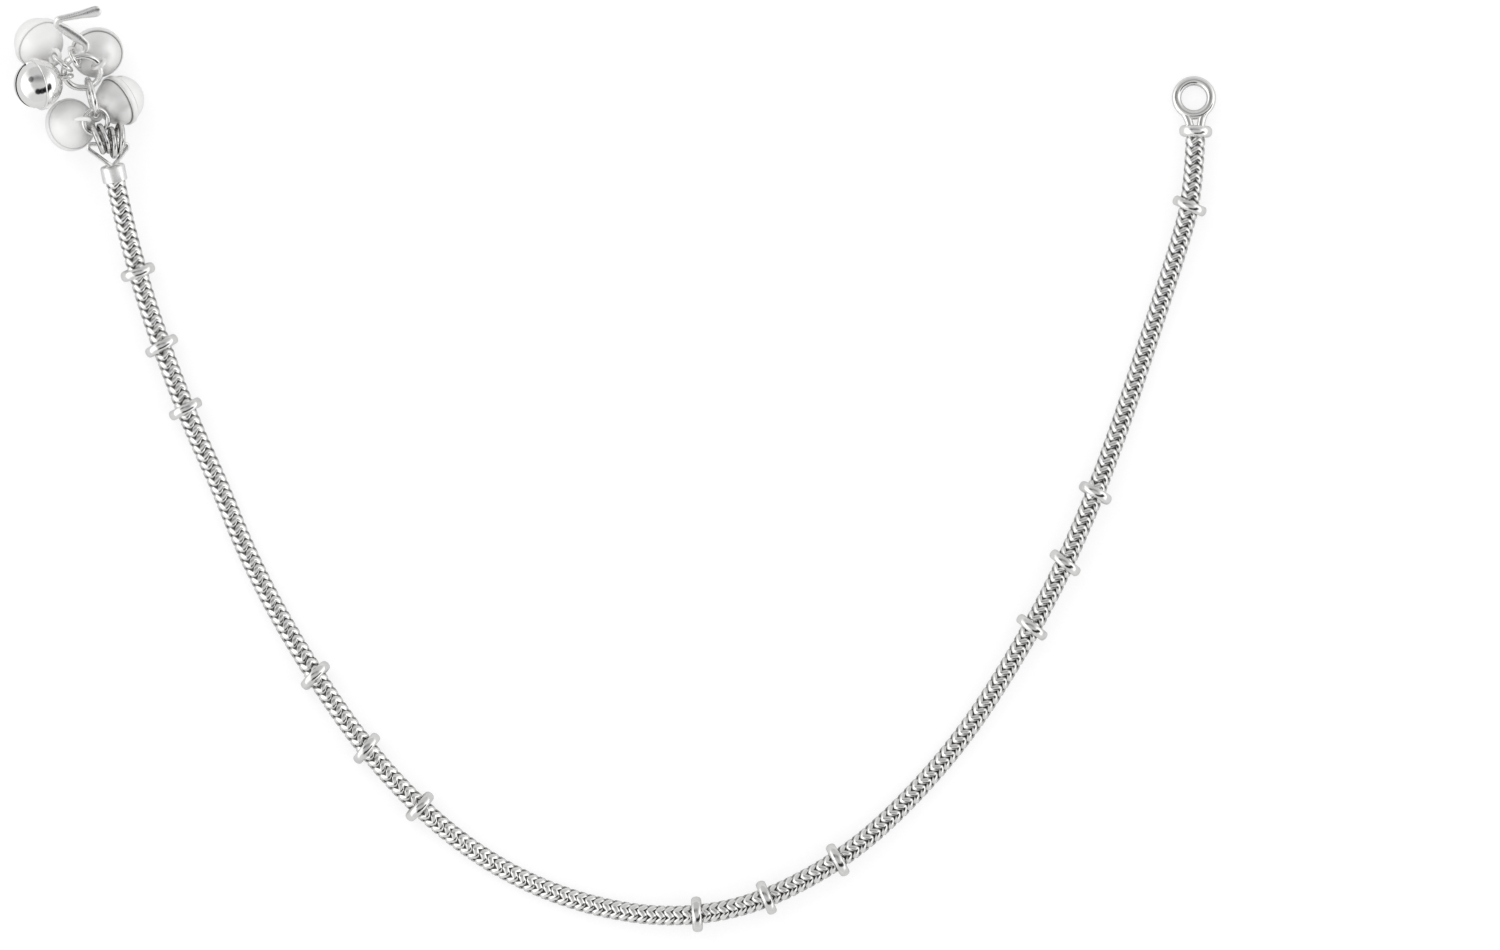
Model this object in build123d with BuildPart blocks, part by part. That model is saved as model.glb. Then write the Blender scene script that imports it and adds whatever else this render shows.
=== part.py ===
"""Payal anklet: a snake chain with rondelle rings, an eye at one end, a hook and bells at the other.

It lies unfastened in an open U on a flat surface at z = 0. X runs across the U, Y runs from the
bottom of the U to its open ends, and Z points up. Sizes are in millimetres.
"""

import os
from math import cos, radians, sin, tan

from build123d import *

# ---- Driving dimensions ----------------------------------------------------------------------

CHAIN_RADIUS = 1.18
ARC_SHARE = 0.45            # part of the shorter run that each bend of the chain takes

# The line that the chain lies on, from its hook end to its eye end. It rises where rondelle
# rings hold it up, and at the hook end where the jump rings lie on top of a bell.
CHAIN_ROUTE = [
    (-59.6, 35.8, 4.3),
    (-58.6, 31.0, 3.5),
    (-57.4, 26.2, 2.6),
    (-55.6, 19.8, 2.05),
    (-53.0, 12.4, 2.08),
    (-50.2, 5.2, 2.2),
    (-46.9, -2.0, 1.35),
    (-43.7, -10.0, 1.2),
    (-39.6, -18.0, 1.4),
    (-34.7, -26.0, 2.28),
    (-29.75, -33.1, 2.1),
    (-24.05, -39.6, 2.32),
    (-17.55, -45.3, 1.35),
    (-10.1, -49.75, 1.2),
    (-2.0, -52.65, 1.25),
    (6.4, -53.95, 2.0),
    (14.5, -53.15, 2.16),
    (21.8, -50.4, 2.12),
    (29.4, -45.8, 2.16),
    (36.0, -39.75, 1.25),
    (42.6, -32.1, 1.2),
    (48.35, -23.2, 2.04),
    (53.3, -14.3, 2.12),
    (57.7, -4.5, 2.3),
    (61.45, 5.6, 1.25),
    (65.2, 17.1, 1.22),
    (68.35, 26.9, 1.95),
    (69.98, 33.0, 2.14),
    (70.25, 39.65, 2.02),
]

# Rondelle rings: an oval section turned round the chain, loose enough to sit a little askew
RING_SECTION_CENTRE = 1.76  # distance of the section's centre from the ring's axis
RING_HALF_DEPTH = 0.39      # half of the section, across the chain
RING_HALF_WIDTH = 0.6       # half of the section, along the chain
RING_PLAY = 0.1             # how far a ring hangs down where the chain is off the floor

# (distance of the ring from the chain's hook end, turn about the vertical in degrees)
RINGS = [
    (12.8, 4),
    (22.1, 10),
    (30.2, 6),
    (65.9, 12),
    (76.6, 13),
    (86.05, 1),
    (122.9, -2),
    (131.5, 2),
    (141.2, -4),
    (177.95, -8),
    (186.65, -13),
    (195.8, -8),
    (232.1, -13),
]

# Eye end: a round-edged disc, two short legs and a ring, soldered together
DISC_RADIUS = 1.98
DISC_THICKNESS = 1.4
DISC_EDGE = 0.6
DISC_GAP = 0.05             # between the chain's cut end and the piece on it
EYE_RADIUS = 2.08           # centre line of the eye's ring
EYE_WIRE_RADIUS = 0.57
EYE_REACH = 4.1             # from the middle of the disc to the middle of the eye
EYE_HEADING = 93            # direction of the neck and the eye, degrees from +X towards +Y
EYE_DROOP = 11              # degrees that they dip towards the floor
LEG_SPREAD = 0.62           # each leg's distance from the middle of the neck
LEG_RADIUS = 0.48

# Hook end: a cup over the chain's end with a flat wire loop, the stirrup, soldered to it
CUP_RADIUS = 1.5
CUP_WALL = 0.24
CUP_DEPTH = 1.5
CUP_FLOOR = 0.5
STIRRUP_WIRE_RADIUS = 0.26
STIRRUP_BEND = 0.38
STIRRUP_CORNERS = [
    (-59.64, 36.1, 4.38),
    (-63.3, 38.8, 6.2),
    (-57.45, 38.9, 4.1),
]

# Round wire rings. Heading and rise give the direction of each ring's axis in degrees: heading
# from +X towards +Y, rise above the floor.
# (name, centre x, y, z, heading, rise, centre line radius, wire radius)
WIRE_RINGS = [
    ("jump_ring_1", -61.37, 39.40, 5.80, 23, -1, 1.62, 0.35),
    ("jump_ring_2", -60.62, 39.50, 5.15, 21, -7, 1.62, 0.35),
    ("jump_ring_3", -59.62, 39.02, 4.94, 6, -9, 1.62, 0.35),
    ("jump_ring_4", -58.78, 39.52, 5.04, -1, -13, 1.62, 0.35),
    ("cross_ring", -61.63, 41.57, 5.71, -16, 73, 1.50, 0.29),
    ("link_ring", -62.10, 44.47, 5.60, 14, -7, 2.15, 0.33),
    ("carrier_ring", -63.25, 47.48, 6.08, -85, 60, 2.20, 0.38),
    ("hook_link", -64.10, 49.24, 6.60, 27, 14, 1.23, 0.26),
    ("bell_link", -65.62, 48.51, 6.23, 52, 2, 1.30, 0.29),
]

# S-hook: round wire bent in one plane, its leg hammered broad and its free tip flattened
HOOK_TIP = (-62.01, 54.6, 9.21)
HOOK_TILT = 30.3            # degrees that the hook's plane rises towards its tip
HOOK_WIRE_RADIUS = 0.4
HOOK_TIP_HEADING = 193.5    # direction of the upper arm, in the hook's plane
HOOK_UPPER_ARM = 3.85
HOOK_UPPER_BEND = (0.55, 128.9)    # radius, turn
HOOK_LEG = 3.64
HOOK_LOWER_BEND = (0.93, -112.4)   # radius, turn
HOOK_LOWER_ARM = 2.5
HOOK_PADDLE = (2.3, 1.5)    # length and width of the flattened tip
HOOK_LEG_FLAT = (4.4, 1.25)     # length and width of the broad leg
FLAT_THICKNESS = 0.64
FLAT_EDGE = 0.2

# Ghungroo bells: a hollow ball with a seam ridge, a slot with two round ends, and a soldered eye
BELL_RADIUS = 2.95
BELL_WALL = 0.35
RIDGE_RADIUS = 3.18
RIDGE_THICKNESS = 0.75
RIDGE_EDGE = 0.12
SLOT_WIDTH = 0.38
SLOT_HOLE_RADIUS = 0.42
SLOT_HOLE_DROP = 1.15       # the slot's end holes, below the seam
BELL_EYE_RADIUS = 0.80
BELL_EYE_WIRE_RADIUS = 0.27
BELL_EYE_REACH = 3.62       # from the bell's middle to the middle of its eye

# (name, centre x, y, z, heading and rise of the direction to the eye, turn of the eye on that
# direction, turn of the slot past the eye)
BELLS = [
    ("bell_1", -68.52, 51.06, 3.04, -42, 42, 26, 0),
    ("bell_2", -68.47, 46.01, 7.31, 15, -24, -81, 90),
    ("bell_3", -61.54, 49.84, 3.04, -79, 65.7, 20, 0),
    ("bell_4", -58.82, 44.11, 3.02, -150, 27, -22, 0),
    ("bell_5", -64.74, 41.17, 3.02, 19, 63, 67, 0),
]


def direction(heading, rise):
    """A unit vector, from its heading round Z and its rise above the floor."""
    return Vector(
        cos(radians(rise)) * cos(radians(heading)),
        cos(radians(rise)) * sin(radians(heading)),
        sin(radians(rise)),
    )


def bend_radii(route):
    """The largest arc that each bend of a route has room for."""
    radii = []
    for before, corner, after in zip(route, route[1:], route[2:]):
        run_in = Vector(*corner) - Vector(*before)
        run_out = Vector(*after) - Vector(*corner)
        half_turn = radians(run_in.get_angle(run_out)) / 2
        radii.append(ARC_SHARE * min(run_in.length, run_out.length) / tan(half_turn))
    return radii


os.makedirs("parts", exist_ok=True)


def save(piece, name):
    """Label a finished piece and write it to its own file."""
    piece.part.label = name
    export_step(piece.part, f"parts/{name}.step")


# ---- Snake chain -----------------------------------------------------------------------------

chain_radii = bend_radii(CHAIN_ROUTE)
print("arc radii of the chain's tube:", [round(radius, 1) for radius in chain_radii])

with BuildPart() as snake_chain:
    with BuildLine() as chain_line:
        FilletPolyline(*CHAIN_ROUTE, radius=chain_radii)
    with BuildSketch(Plane(origin=chain_line.line @ 0, z_dir=chain_line.line % 0)):
        Circle(CHAIN_RADIUS)
    sweep()

chain_wire = chain_line.wire()
print("chain length:", round(chain_wire.length, 2))
save(snake_chain, "snake_chain")

# ---- Rondelle rings --------------------------------------------------------------------------

ring_height = RING_SECTION_CENTRE + RING_HALF_DEPTH  # of a ring that stands on the floor

for number, (distance, turn) in enumerate(RINGS, start=1):
    place = chain_wire.position_at(distance, position_mode=PositionMode.LENGTH)
    along = chain_wire.tangent_at(distance, position_mode=PositionMode.LENGTH)
    middle = Vector(place.X, place.Y, max(ring_height, place.Z - RING_PLAY))
    ring_axis = Axis(middle, along.rotate(Axis.Z, turn))
    outward = Vector(0, 0, 1).cross(ring_axis.direction).normalized()

    with BuildPart() as ring:
        with BuildSketch(Plane(middle, x_dir=outward, z_dir=outward.cross(ring_axis.direction))):
            with Locations((RING_SECTION_CENTRE, 0)):
                Ellipse(RING_HALF_DEPTH, RING_HALF_WIDTH)
        revolve(axis=ring_axis)
    save(ring, f"ring_{number:02d}")

# ---- Eye end ---------------------------------------------------------------------------------

chain_end = chain_wire.position_at(1)
end_heading = chain_wire.tangent_at(1)
disc_middle = chain_end + end_heading * (DISC_GAP + DISC_THICKNESS / 2)
eye_direction = direction(EYE_HEADING, -EYE_DROOP)
eye_plane = Plane(disc_middle, Vector(0, 0, 1).cross(eye_direction), eye_direction)
leg_length = EYE_REACH - EYE_RADIUS

with BuildPart() as end_eye:
    with Locations(Plane(disc_middle, z_dir=end_heading)):
        Cylinder(DISC_RADIUS, DISC_THICKNESS)
    fillet(end_eye.edges().filter_by(GeomType.CIRCLE), DISC_EDGE)
    with Locations(eye_plane):
        with Locations((-LEG_SPREAD, 0, leg_length / 2), (LEG_SPREAD, 0, leg_length / 2)):
            Cylinder(LEG_RADIUS, leg_length)
        with Locations((0, 0, EYE_REACH)):
            Torus(EYE_RADIUS, EYE_WIRE_RADIUS, rotation=(90, 0, 0))
save(end_eye, "end_eye")

# ---- Hook end --------------------------------------------------------------------------------

chain_start = chain_wire.position_at(0)
out_of_chain = chain_wire.tangent_at(0) * -1

with BuildPart(Plane(origin=chain_start, z_dir=out_of_chain)) as hook_end_cap:
    with Locations((0, 0, DISC_GAP + CUP_FLOOR / 2)):
        Cylinder(CUP_RADIUS, CUP_FLOOR)
    with Locations((0, 0, DISC_GAP - CUP_DEPTH / 2)):
        Cylinder(CUP_RADIUS, CUP_DEPTH)
        Cylinder(CUP_RADIUS - CUP_WALL, CUP_DEPTH, mode=Mode.SUBTRACT)
    with BuildLine(Plane.XY) as stirrup_line:
        FilletPolyline(*STIRRUP_CORNERS, radius=STIRRUP_BEND, close=True)
    with BuildSketch(Plane(origin=stirrup_line.line @ 0, z_dir=stirrup_line.line % 0)):
        Circle(STIRRUP_WIRE_RADIUS)
    sweep()
save(hook_end_cap, "hook_end_cap")

# ---- Jump rings and link rings ---------------------------------------------------------------

for name, x, y, z, heading, rise, radius, wire_radius in WIRE_RINGS:
    with BuildPart(Plane(origin=(x, y, z), z_dir=direction(heading, rise))) as wire_ring:
        Torus(radius, wire_radius)
    save(wire_ring, name)

# ---- S-hook ----------------------------------------------------------------------------------

hook_plane = Plane(
    origin=HOOK_TIP,
    x_dir=(1, 0, 0),
    z_dir=(0, -sin(radians(HOOK_TILT)), cos(radians(HOOK_TILT))),
)

with BuildPart() as s_hook:
    with BuildLine(hook_plane) as hook_line:
        upper_arm = PolarLine((0, 0), HOOK_UPPER_ARM, HOOK_TIP_HEADING)
        upper_bend = JernArc(upper_arm @ 1, upper_arm % 1, *HOOK_UPPER_BEND)
        leg = PolarLine(upper_bend @ 1, HOOK_LEG, direction=upper_bend % 1)
        lower_bend = JernArc(leg @ 1, leg % 1, *HOOK_LOWER_BEND)
        PolarLine(lower_bend @ 1, HOOK_LOWER_ARM, direction=lower_bend % 1)
    with BuildSketch(hook_plane):
        with Locations(hook_plane.to_local_coords(upper_arm @ 0)):
            SlotOverall(*HOOK_PADDLE, rotation=HOOK_TIP_HEADING)
        with Locations(hook_plane.to_local_coords(leg @ 0.5)):
            SlotOverall(*HOOK_LEG_FLAT, rotation=HOOK_TIP_HEADING + HOOK_UPPER_BEND[1])
    extrude(amount=FLAT_THICKNESS / 2, both=True)
    fillet(s_hook.edges(), FLAT_EDGE)
    with BuildSketch(Plane(origin=hook_line.line @ 0, z_dir=hook_line.line % 0)):
        Circle(HOOK_WIRE_RADIUS)
    sweep(path=hook_line.wire())
save(s_hook, "s_hook")

# ---- Bells -----------------------------------------------------------------------------------

for name, x, y, z, heading, rise, turn, slot_turn in BELLS:
    top = direction(heading, rise)
    across = Vector(0, 0, 1).cross(top).rotate(Axis((0, 0, 0), top), turn)
    bell_plane = Plane(origin=(x, y, z), x_dir=across, z_dir=top)

    with BuildPart(bell_plane) as bell:
        Cylinder(RIDGE_RADIUS, RIDGE_THICKNESS)
        fillet(bell.edges().filter_by(GeomType.CIRCLE), RIDGE_EDGE)
        Sphere(BELL_RADIUS)
        with Locations((0, 0, BELL_EYE_REACH)):
            Torus(BELL_EYE_RADIUS, BELL_EYE_WIRE_RADIUS, rotation=(90, 0, 0))
        Sphere(BELL_RADIUS - BELL_WALL, mode=Mode.SUBTRACT)
        with Locations(Location((0, 0, -SLOT_HOLE_DROP), (0, 0, slot_turn))):
            Cylinder(SLOT_HOLE_RADIUS, 2 * BELL_RADIUS, rotation=(0, 90, 0), mode=Mode.SUBTRACT)
            with Locations((0, 0, -BELL_RADIUS / 2)):
                Box(2 * BELL_RADIUS, SLOT_WIDTH, BELL_RADIUS, mode=Mode.SUBTRACT)
    save(bell, name)
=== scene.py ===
from math import asin, cos, pi, radians, sin

import bmesh
import bpy
import numpy as np
from mathutils import Matrix, Vector


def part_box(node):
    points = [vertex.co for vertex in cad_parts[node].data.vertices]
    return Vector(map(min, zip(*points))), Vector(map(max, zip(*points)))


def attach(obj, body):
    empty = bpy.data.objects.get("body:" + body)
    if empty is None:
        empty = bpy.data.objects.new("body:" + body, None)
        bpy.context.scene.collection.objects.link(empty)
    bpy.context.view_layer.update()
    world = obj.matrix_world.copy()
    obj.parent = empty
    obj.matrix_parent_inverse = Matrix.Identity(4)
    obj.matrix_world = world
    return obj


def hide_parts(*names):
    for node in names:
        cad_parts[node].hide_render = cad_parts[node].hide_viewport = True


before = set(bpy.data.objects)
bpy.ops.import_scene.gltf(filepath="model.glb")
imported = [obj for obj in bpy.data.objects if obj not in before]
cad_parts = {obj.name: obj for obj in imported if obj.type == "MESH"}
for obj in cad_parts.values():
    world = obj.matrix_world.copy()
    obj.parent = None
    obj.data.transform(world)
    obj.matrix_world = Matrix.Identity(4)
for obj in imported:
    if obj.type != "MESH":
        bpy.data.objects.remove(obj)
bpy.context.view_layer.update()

# The payal anklet lies unfastened on a white table top, in an open U: a snake chain with thirteen
# rondelle rings, a round eye at one end, and a hook with five bells at the other.

scene = bpy.context.scene
MM = 0.001
MERGED_WITHIN = 0.0005 * MM     # points nearer than this are one point
EMPTY_WITHIN = 0.0001 * MM      # edges shorter than this are nothing


def link_in(name, data):
    """A new object, linked into the scene."""
    thing = bpy.data.objects.new(name, data)
    scene.collection.objects.link(thing)
    return thing


# ---- Camera ----------------------------------------------------------------------------------

CAMERA_MIDDLE = Vector((16.8 * MM, -0.84 * MM, 1.5 * MM))
CAMERA_HEIGHT = 4.0
SENSOR_WIDTH = 36.0
VIEW_WIDTH = 180 * MM

camera = link_in("camera", bpy.data.cameras.new("camera"))
camera.data.sensor_width = SENSOR_WIDTH
camera.data.lens = SENSOR_WIDTH * CAMERA_HEIGHT / VIEW_WIDTH
camera.data.clip_start, camera.data.clip_end = 0.1, 20
camera.location = CAMERA_MIDDLE + Vector((0, 0, CAMERA_HEIGHT))
scene.camera = camera
scene.view_settings.view_transform = "Standard"

# ---- Node helpers ----------------------------------------------------------------------------


def add(tree, kind, inputs=(), **settings):
    """A node with its settings, and its inputs wired or set by name or number."""
    made = tree.nodes.new(kind)
    for key, value in settings.items():
        setattr(made, key, value)
    for key, value in dict(inputs).items():
        if isinstance(value, bpy.types.NodeSocket):
            tree.links.new(value, made.inputs[key])
        else:
            made.inputs[key].default_value = value
    return made


def maths(tree, operation, *values):
    """The output of a math node on sockets or plain numbers."""
    return add(tree, "ShaderNodeMath", dict(enumerate(values)), operation=operation).outputs[0]


def new_tree(name, kind, inputs, outputs):
    """A node group with its named sockets, given as (name, socket type, default)."""
    tree = bpy.data.node_groups.new(name, kind)
    for label, socket, default in inputs:
        made = tree.interface.new_socket(label, in_out="INPUT", socket_type=socket)
        if default is not None:
            made.default_value = default
    for label, socket in outputs:
        tree.interface.new_socket(label, in_out="OUTPUT", socket_type=socket)
    return tree, tree.nodes.new("NodeGroupInput").outputs, tree.nodes.new("NodeGroupOutput").inputs


# ---- Silver ----------------------------------------------------------------------------------

FLOAT, COLOUR = "NodeSocketFloat", "NodeSocketColor"

BLOTCH_RANGE = (0.48, 0.72)     # of the soft noise, where a blotch starts and where it is full
HAIRLINE_RANGE = (0.35, 0.75)   # the same for hairlines
HAIRLINE_STRETCH = (1.0, 0.06, 1.0)
HAIRLINE_DEPTH = 0.08           # as a share of the dents' depth
PICKLED_SHARE = 0.75            # how much of a full white mark, pickled skin and painted light, is white and not metal

# Worn silver: dark oxide in soft blotches, painted shade and oxide where the mesh marks them, fine
# hairlines, soft dents
worn_silver, given, result = new_tree(
    "worn_silver",
    "ShaderNodeTree",
    [
        ("Clean", COLOUR, (0.96, 0.957, 0.95, 1)),
        ("Oxide", COLOUR, (0.1, 0.095, 0.09, 1)),
        ("Recess", FLOAT, 0.0),
        ("Blotch Size", FLOAT, 2.0),
        ("Blotch Amount", FLOAT, 0.1),
        ("Polished Roughness", FLOAT, 0.12),
        ("Worn Roughness", FLOAT, 0.3),
        ("Dent Size", FLOAT, 0.8),
        ("Hairline Size", FLOAT, 0.05),
    ],
    [("Color", COLOUR), ("Roughness", FLOAT), ("Height", FLOAT)],
)
tree = worn_silver
place = add(tree, "ShaderNodeTexCoord").outputs["Object"]


def per_mm(size):
    """The scale of a pattern whose features are that many millimetres across."""
    return maths(tree, "DIVIDE", 1 / MM, size)


def pattern(scale, detail, place=place):
    noise = add(tree, "ShaderNodeTexNoise", {"Vector": place, "Scale": scale, "Detail": detail})
    return noise.outputs["Fac"]


def stretch(value, start, full):
    """A soft pattern made harder: 0 up to one value, 1 from another on."""
    return add(tree, "ShaderNodeMapRange", {0: value, 1: start, 2: full}, clamp=True).outputs[0]


blotch = stretch(pattern(per_mm(given["Blotch Size"]), 4.0), *BLOTCH_RANGE)
blotch = maths(tree, "MULTIPLY", blotch, given["Blotch Amount"])
oxide = maths(tree, "MAXIMUM", blotch, given["Recess"])
colour = add(
    tree,
    "ShaderNodeMix",
    {"Factor": oxide, "A": given["Clean"], "B": given["Oxide"]},
    data_type="RGBA",
)
combed = add(tree, "ShaderNodeMapping", {"Vector": place, "Scale": HAIRLINE_STRETCH})
hairline = pattern(per_mm(given["Hairline Size"]), 2.0, combed.outputs[0])
hairline = stretch(hairline, *HAIRLINE_RANGE)
wear = maths(tree, "MAXIMUM", hairline, oxide)
roughness = add(
    tree,
    "ShaderNodeMix",
    {0: wear, 2: given["Polished Roughness"], 3: given["Worn Roughness"]},
    data_type="FLOAT",
)
dents = pattern(per_mm(given["Dent Size"]), 2.0)
tree.links.new([o for o in colour.outputs if o.type == "RGBA"][0], result["Color"])
tree.links.new(roughness.outputs[0], result["Roughness"])
tree.links.new(maths(tree, "MULTIPLY_ADD", hairline, HAIRLINE_DEPTH, dents), result["Height"])


def silver(name, dent_depth, recess=None, pickled=None, **values):
    """A silver finish. Its painted shade and oxide, and its white skin that is partly pickled and
    partly painted light, if any, are marked by numbers stored on the mesh."""
    material = bpy.data.materials.new(name)
    material.use_nodes = True
    tree = material.node_tree
    tree.nodes.clear()
    finish = add(tree, "ShaderNodeGroup", node_tree=worn_silver)
    for key, value in values.items():
        finish.inputs[key.replace("_", " ")].default_value = value
    # painted shade and oxide, as marked on the mesh, mix towards the dark colour
    if recess:
        mark = add(tree, "ShaderNodeAttribute", attribute_name=recess)
        tree.links.new(mark.outputs["Fac"], finish.inputs["Recess"])
    bump = add(
        tree,
        "ShaderNodeBump",
        {"Height": finish.outputs["Height"], "Distance": dent_depth * MM, "Strength": 1.0},
    )
    metal = add(
        tree,
        "ShaderNodeBsdfPrincipled",
        {
            "Base Color": finish.outputs["Color"],
            "Roughness": finish.outputs["Roughness"],
            "Normal": bump.outputs[0],
            "Metallic": 1.0,
        },
    )
    # painted light: a matte white skin in place of bare metal, whiter where a bell's half should
    # look lit
    if pickled:
        mark = add(tree, "ShaderNodeAttribute", attribute_name=pickled)
        bare = maths(tree, "MULTIPLY_ADD", mark.outputs["Fac"], -PICKLED_SHARE, 1.0)
        tree.links.new(bare, metal.inputs["Metallic"])
    add(tree, "ShaderNodeOutputMaterial", {"Surface": metal.outputs[0]})
    return material


chain_silver = silver(
    "chain_silver", 0.01, "recess", Polished_Roughness=0.11, Worn_Roughness=0.24,
    Blotch_Amount=0.05, Dent_Size=0.5,
)
ring_silver = silver(
    "ring_silver", 0.02, Polished_Roughness=0.08, Worn_Roughness=0.18,
    Clean=(0.9, 0.897, 0.89, 1), Blotch_Amount=0.2, Blotch_Size=1.5, Dent_Size=1.2,
)
fitting_silver = silver(
    "fitting_silver", 0.02, Polished_Roughness=0.1, Worn_Roughness=0.24,
    Blotch_Amount=0.08, Dent_Size=0.9,
)
# reads the painted shade in the seam corners and the painted light of the white halves
bell_silver = silver(
    "bell_silver", 0.03, "recess", "pickled", Polished_Roughness=0.42, Worn_Roughness=0.6,
    Blotch_Amount=0.04, Dent_Size=1.6, Blotch_Size=3.0,
)
polished_bell_silver = silver(
    "polished_bell_silver", 0.01, "recess", Polished_Roughness=0.05, Worn_Roughness=0.12,
    Blotch_Amount=0.04, Dent_Size=1.6, Blotch_Size=3.0,
)
satin_silver = silver(
    "satin_silver", 0.02, Polished_Roughness=0.26, Worn_Roughness=0.4,
    Blotch_Amount=0.05, Dent_Size=0.9,
)
# blotches of tarnish, and painted shade wherever the mesh marks it
tarnished_silver = silver(
    "tarnished_silver", 0.03, "recess", Polished_Roughness=0.16, Worn_Roughness=0.3,
    Clean=(0.9, 0.897, 0.89, 1), Blotch_Amount=0.45, Blotch_Size=2.5, Dent_Size=0.7,
)
FINISHES = {
    "chain_silver": chain_silver,
    "ring_silver": ring_silver,
    "fitting_silver": fitting_silver,
    "bell_silver": bell_silver,
}

# ---- Table top, lamps and sky ----------------------------------------------------------------

TABLE_HALF = 3.0
TABLE_COLOUR = 0.7
TABLE_SEEN_COLOUR = 0.3     # its colour to what looks at it straight
TABLE_SEEN_GLOW = 0.73      # the white that it adds there
SKY_LIGHT = 1.15            # brightness of the sky that lights what isn't polished
LAMPS = [                   # (x, y, z in metres, size, power)
    (-0.45, 0.5, 0.75, 0.5, 1.1),
    (0.55, -0.2, 0.8, 0.6, 0.7),
]


def looking(tree):
    """1 for rays that look straight or through glass, and 1 for rays that look in metal."""
    rays = add(tree, "ShaderNodeLightPath").outputs
    straight = maths(tree, "MAXIMUM", rays["Is Camera Ray"], rays["Is Transmission Ray"])
    return straight, rays["Is Glossy Ray"]


table_top = bpy.data.materials.new("white_table_top")
table_top.use_nodes = True
tree = table_top.node_tree
tree.nodes.clear()
straight, _ = looking(tree)
colour = add(tree, "ShaderNodeMix", {0: straight, 2: TABLE_COLOUR, 3: TABLE_SEEN_COLOUR})
paper = add(tree, "ShaderNodeBsdfDiffuse", {"Color": colour.outputs[0]})
glow = maths(tree, "MULTIPLY", straight, TABLE_SEEN_GLOW)
glow = add(tree, "ShaderNodeEmission", {"Strength": glow})
both = add(tree, "ShaderNodeAddShader", {0: paper.outputs[0], 1: glow.outputs[0]})
add(tree, "ShaderNodeOutputMaterial", {"Surface": both.outputs[0]})

table = bpy.data.meshes.new("table_top")
table.from_pydata(
    [(x * TABLE_HALF, y * TABLE_HALF, 0) for x, y in ((-1, -1), (1, -1), (1, 1), (-1, 1))],
    [],
    [(0, 1, 2, 3)],
)
table.materials.append(table_top)
link_in("table_top", table)

for number, (x, y, z, size, power) in enumerate(LAMPS, start=1):
    lamp = link_in(f"lamp_{number}", bpy.data.lights.new(f"lamp_{number}", "AREA"))
    lamp.data.size, lamp.data.energy = size, power
    lamp.location = (x, y, z)
    lamp.rotation_euler = (-lamp.location).to_track_quat("-Z", "Y").to_euler()
    lamp.visible_glossy = False

# Dark things over the table that polished silver shows: (direction, half angle of the dark
# middle, half angle where it ends, brightness)
DARK_THINGS = [
    ((0.0, 0.05, 1.0), 24, 46, 0.45),
    ((0.0, 0.9, 0.45), 30, 65, 0.45),
    ((0.0, -0.95, 0.3), 25, 55, 0.54),
    ((0.0, -0.6, 0.8), 9, 18, 0.04),
    ((0.32, -0.55, 0.77), 9, 18, 0.04),
    ((0.58, -0.42, 0.7), 9, 18, 0.04),
    ((0.78, -0.2, 0.6), 9, 18, 0.04),
    ((-0.54, 0.35, 0.77), 8, 17, 0.25),
]
SKY_SHOWN = 1.6             # brightness of the rest of what silver shows

sky = bpy.data.worlds.new("studio")
scene.world = sky
sky.use_nodes = True
tree = sky.node_tree
tree.nodes.clear()
towards = add(tree, "ShaderNodeTexCoord").outputs["Generated"]
shown = SKY_SHOWN
for aim, middle, edge, brightness in DARK_THINGS:
    angle = add(tree, "ShaderNodeVectorMath", {0: towards, 1: Vector(aim).normalized()},
                operation="DOT_PRODUCT").outputs["Value"]
    dark = add(tree, "ShaderNodeMapRange", {
        "Value": angle, 1: cos(radians(edge)), 2: cos(radians(middle)), 3: 1.0, 4: brightness,
    }, interpolation_type="SMOOTHSTEP").outputs[0]
    shown = maths(tree, "MULTIPLY", dark, shown)
straight, mirrored = looking(tree)
light = add(tree, "ShaderNodeMix", {0: mirrored, 2: SKY_LIGHT, 3: shown})
light = add(tree, "ShaderNodeMix", {0: straight, 2: light.outputs[0], 3: 1.0})
backdrop = add(tree, "ShaderNodeBackground", {"Strength": light.outputs[0]})
add(tree, "ShaderNodeOutputWorld", {"Surface": backdrop.outputs[0]})

# ---- Making pieces ---------------------------------------------------------------------------


def direction(heading, rise):
    """A unit vector, from its heading round Z and its rise above the table, in degrees."""
    flat = cos(radians(rise))
    return Vector((flat * cos(radians(heading)), flat * sin(radians(heading)), sin(radians(rise))))


def placed(origin, across, up):
    """The matrix that stands a thing at a point, its x and z as given."""
    up = Vector(up).normalized()
    across = Vector(across)
    across = (across - up * across.dot(up)).normalized()
    turn = Matrix((across, up.cross(across), up)).transposed()
    return Matrix.Translation(Vector(origin) * MM) @ turn.to_4x4()


def finish_piece(name, mesh, slot, nodes, sharp_from=38, finish=None):
    """Turns a mesh in metres into a piece of the anklet that stands for its CAD nodes."""
    mesh.name = name
    shape = bmesh.new()
    shape.from_mesh(mesh)
    bmesh.ops.remove_doubles(shape, verts=shape.verts, dist=MERGED_WITHIN)
    bmesh.ops.recalc_face_normals(shape, faces=shape.faces)
    shape.to_mesh(mesh)
    shape.free()
    mesh.shade_smooth()
    mesh.set_sharp_from_angle(angle=radians(sharp_from))
    mesh.materials.clear()
    mesh.materials.append(finish or FINISHES[slot])
    piece = link_in(name, mesh)
    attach(piece, "root")
    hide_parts(*nodes)


def mesh_of(points, faces):
    """A mesh in metres from points in millimetres."""
    mesh = bpy.data.meshes.new("shape")
    mesh.from_pydata([tuple(p) for p in np.asarray(points, float) * MM], [], faces)
    return mesh


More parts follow.
